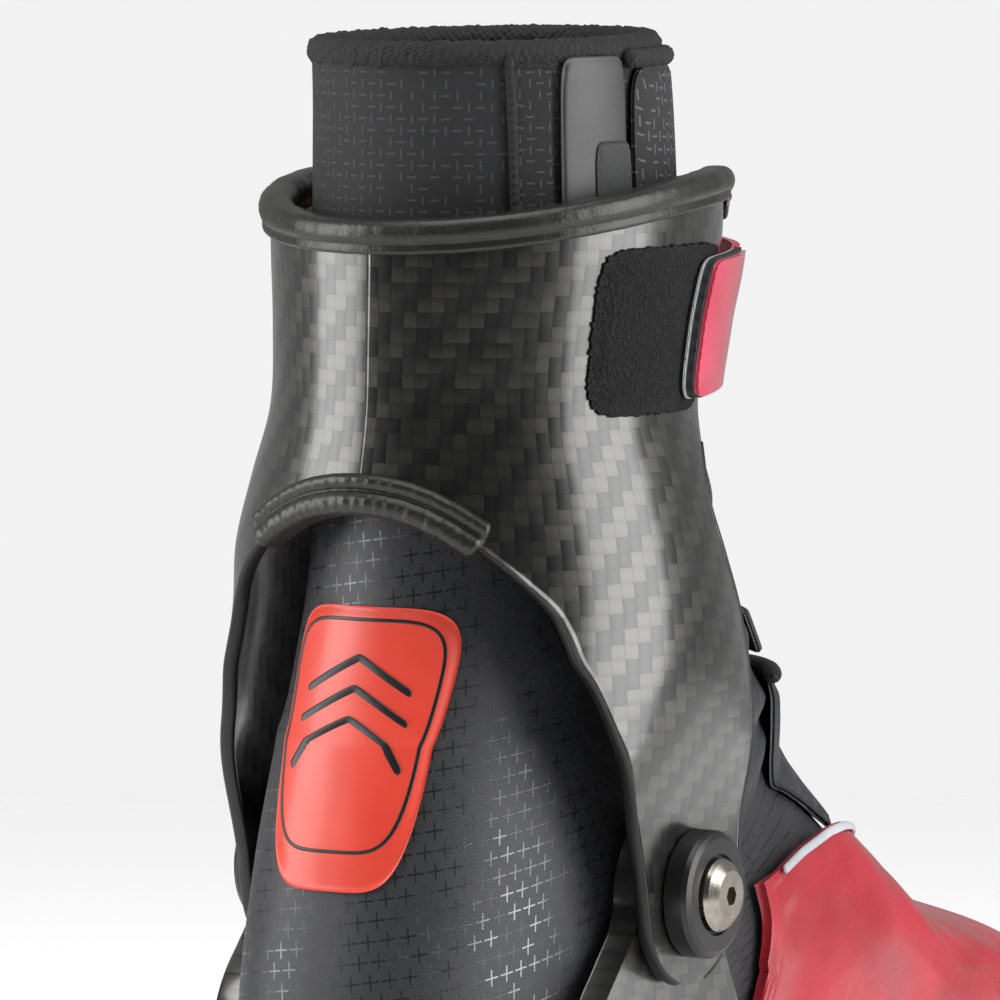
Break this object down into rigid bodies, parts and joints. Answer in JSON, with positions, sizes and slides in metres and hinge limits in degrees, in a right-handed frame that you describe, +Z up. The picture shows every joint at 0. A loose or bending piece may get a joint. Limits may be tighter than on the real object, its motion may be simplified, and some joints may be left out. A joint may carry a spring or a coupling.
{
  "type": "cross-country ski boot",
  "caption": "Right skate cross-country ski boot: carbon cuff pivoting on a carbon sole, soft bootie, cuff strap, zipped red cover and toe bar.",
  "frame": {"origin": "centre of the bounding box in plan, on the floor under the sole", "axes": "+X from heel to toe, +Y to the inner side of this right boot, +Z up the leg"},
  "size_m": [0.293, 0.1138, 0.2702],
  "materials": {
    "sole_rubber": "moulded rubber",
    "steel": "turned steel",
    "carbon": "clear-coated twill carbon laminate",
    "board": "fibre board",
    "footbed_foam": "moulded foam with a fabric top",
    "counter_plastic": "thermoformed stiffener",
    "softshell": "charcoal softshell with small plus marks",
    "toe_rubber": "soft-touch coated",
    "red_cover": "red coated stretch fabric",
    "zip_tape": "woven tape with coil teeth",
    "lace_cord": "braided cord",
    "webbing": "woven webbing",
    "red_badge": "moulded film badge",
    "reflective_piping": "reflective piping",
    "binding": "fuzzy knit binding",
    "tongue_foam": "padded tongue",
    "bolt_steel": "blackened stainless",
    "black_nylon": "moulded nylon",
    "white_nylon": "low-friction plastic",
    "trim_rubber": "extruded edge trim",
    "loop_pile": "loop pile",
    "liner_knit": "woven dash fabric over foam",
    "smooth_synthetic": "smooth synthetic leather",
    "panel_knit": "dashed fabric over foam",
    "red_strap": "coated webbing",
    "grey_print": "printed corner",
    "red_gloss": "glossy film",
    "hook_pile": "hook tape",
    "zip_metal": "black enamel"
  },
  "bodies": {
    "boot": {"outsole_front": "sole_rubber", "outsole_rear": "sole_rubber", "toe_bar": "steel", "carbon_chassis": "carbon", "lasting_board": "board", "footbed": "footbed_foam", "heel_counter": "counter_plastic", "bootie_vamp": "softshell", "bootie_quarter": "softshell", "toe_cap": "toe_rubber", "lace_cover": "red_cover", "zip_chain": "zip_tape", "lace": "lace_cord", "lace_loops": "webbing", "heel_badge": "red_badge", "side_piping": "reflective_piping", "instep_flap": "softshell", "flap_binding": "binding", "pull_loop": "webbing", "foot_tongue": "tongue_foam", "pivot_bolts": "bolt_steel", "pivot_washers": "black_nylon", "pivot_barrels": "steel", "pivot_spacers": "white_nylon"},
    "cuff": {"cuff_shell": "carbon", "rim_trim": "trim_rubber", "arch_trim": "trim_rubber", "loop_pad": "loop_pile", "liner_collar": "liner_knit", "collar_binding": "binding", "collar_piping": "binding", "collar_flap": "smooth_synthetic", "flap_webbing": "webbing", "front_panel": "panel_knit", "panel_binding": "binding", "strap_anchor": "webbing", "strap_rivets": "steel"},
    "strap": {"strap_band": "red_strap", "strap_corner": "grey_print"},
    "strap_end": {"strap_tip": "webbing", "strap_face": "red_gloss", "hook_pad": "hook_pile"},
    "slider": {"zip_slider": "zip_metal"},
    "puller": {"zip_pull": "red_gloss"}
  },
  "joints": [
    {"name": "cuff_flex", "type": "hinge", "parent": "boot", "child": "cuff", "pos_m": [-0.0725, 0, 0.097], "axis": [0, 1, 0], "range_deg": [-6, 16], "stiffness_Nm_per_rad": 2},
    {"name": "strap_swing", "type": "hinge", "parent": "cuff", "child": "strap", "pos_m": [-0.05178, 0.04061, 0.2153], "axis": [0, 0, 1], "range_deg": [0, 55]},
    {"name": "strap_peel", "type": "hinge", "parent": "strap", "child": "strap_end", "pos_m": [-0.04219, -0.03997, 0.212], "axis": [0, 0, 1], "range_deg": [0, 70]},
    {"name": "zip_slide", "type": "slide", "parent": "boot", "child": "slider", "axis": [0.9598, 0, -0.2806], "range_m": [0, 0.034]},
    {"name": "zip_pull_tilt", "type": "hinge", "parent": "slider", "child": "puller", "pos_m": [0.05825, 0, 0.08943], "axis": [0, -1, 0], "range_deg": [0, 110]}
  ]
}
